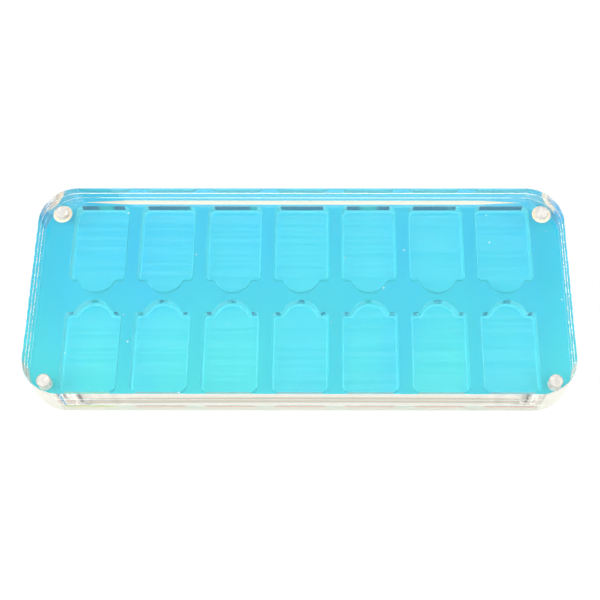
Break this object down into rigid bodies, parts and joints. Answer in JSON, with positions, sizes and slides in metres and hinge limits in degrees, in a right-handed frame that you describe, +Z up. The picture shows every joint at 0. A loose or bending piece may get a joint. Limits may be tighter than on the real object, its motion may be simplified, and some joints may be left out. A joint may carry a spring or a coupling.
{
  "type": "wet palette",
  "caption": "Flat clear paint palette box: a thick magnetic lift-off lid over rows of arched milled wells, with a blue colour-shift film under the tray.",
  "frame": {"origin": "middle of the underside of the closed box", "axes": "+X to the right along the length, +Z up through the lid, -Y towards the front; the front and the back are alike"},
  "size_m": [0.206, 0.086, 0.0191],
  "materials": {
    "clear_acrylic": "polished",
    "colour_film": "gloss",
    "magnet_metal": "satin"
  },
  "bodies": {
    "base": {"well_tray": "clear_acrylic", "colour_film": "colour_film", "tray_magnet_front_left": "magnet_metal", "tray_magnet_front_right": "magnet_metal", "tray_magnet_back_left": "magnet_metal", "tray_magnet_back_right": "magnet_metal"},
    "lid": {"cover_sheet": "clear_acrylic", "core_sheet": "clear_acrylic", "lid_magnet_front_left": "magnet_metal", "lid_magnet_front_right": "magnet_metal", "lid_magnet_back_left": "magnet_metal", "lid_magnet_back_right": "magnet_metal"}
  },
  "joints": [
    {"name": "lid_lift", "type": "slide", "parent": "base", "child": "lid", "axis": [0, 0, 1], "range_m": [0, 0.05]}
  ]
}
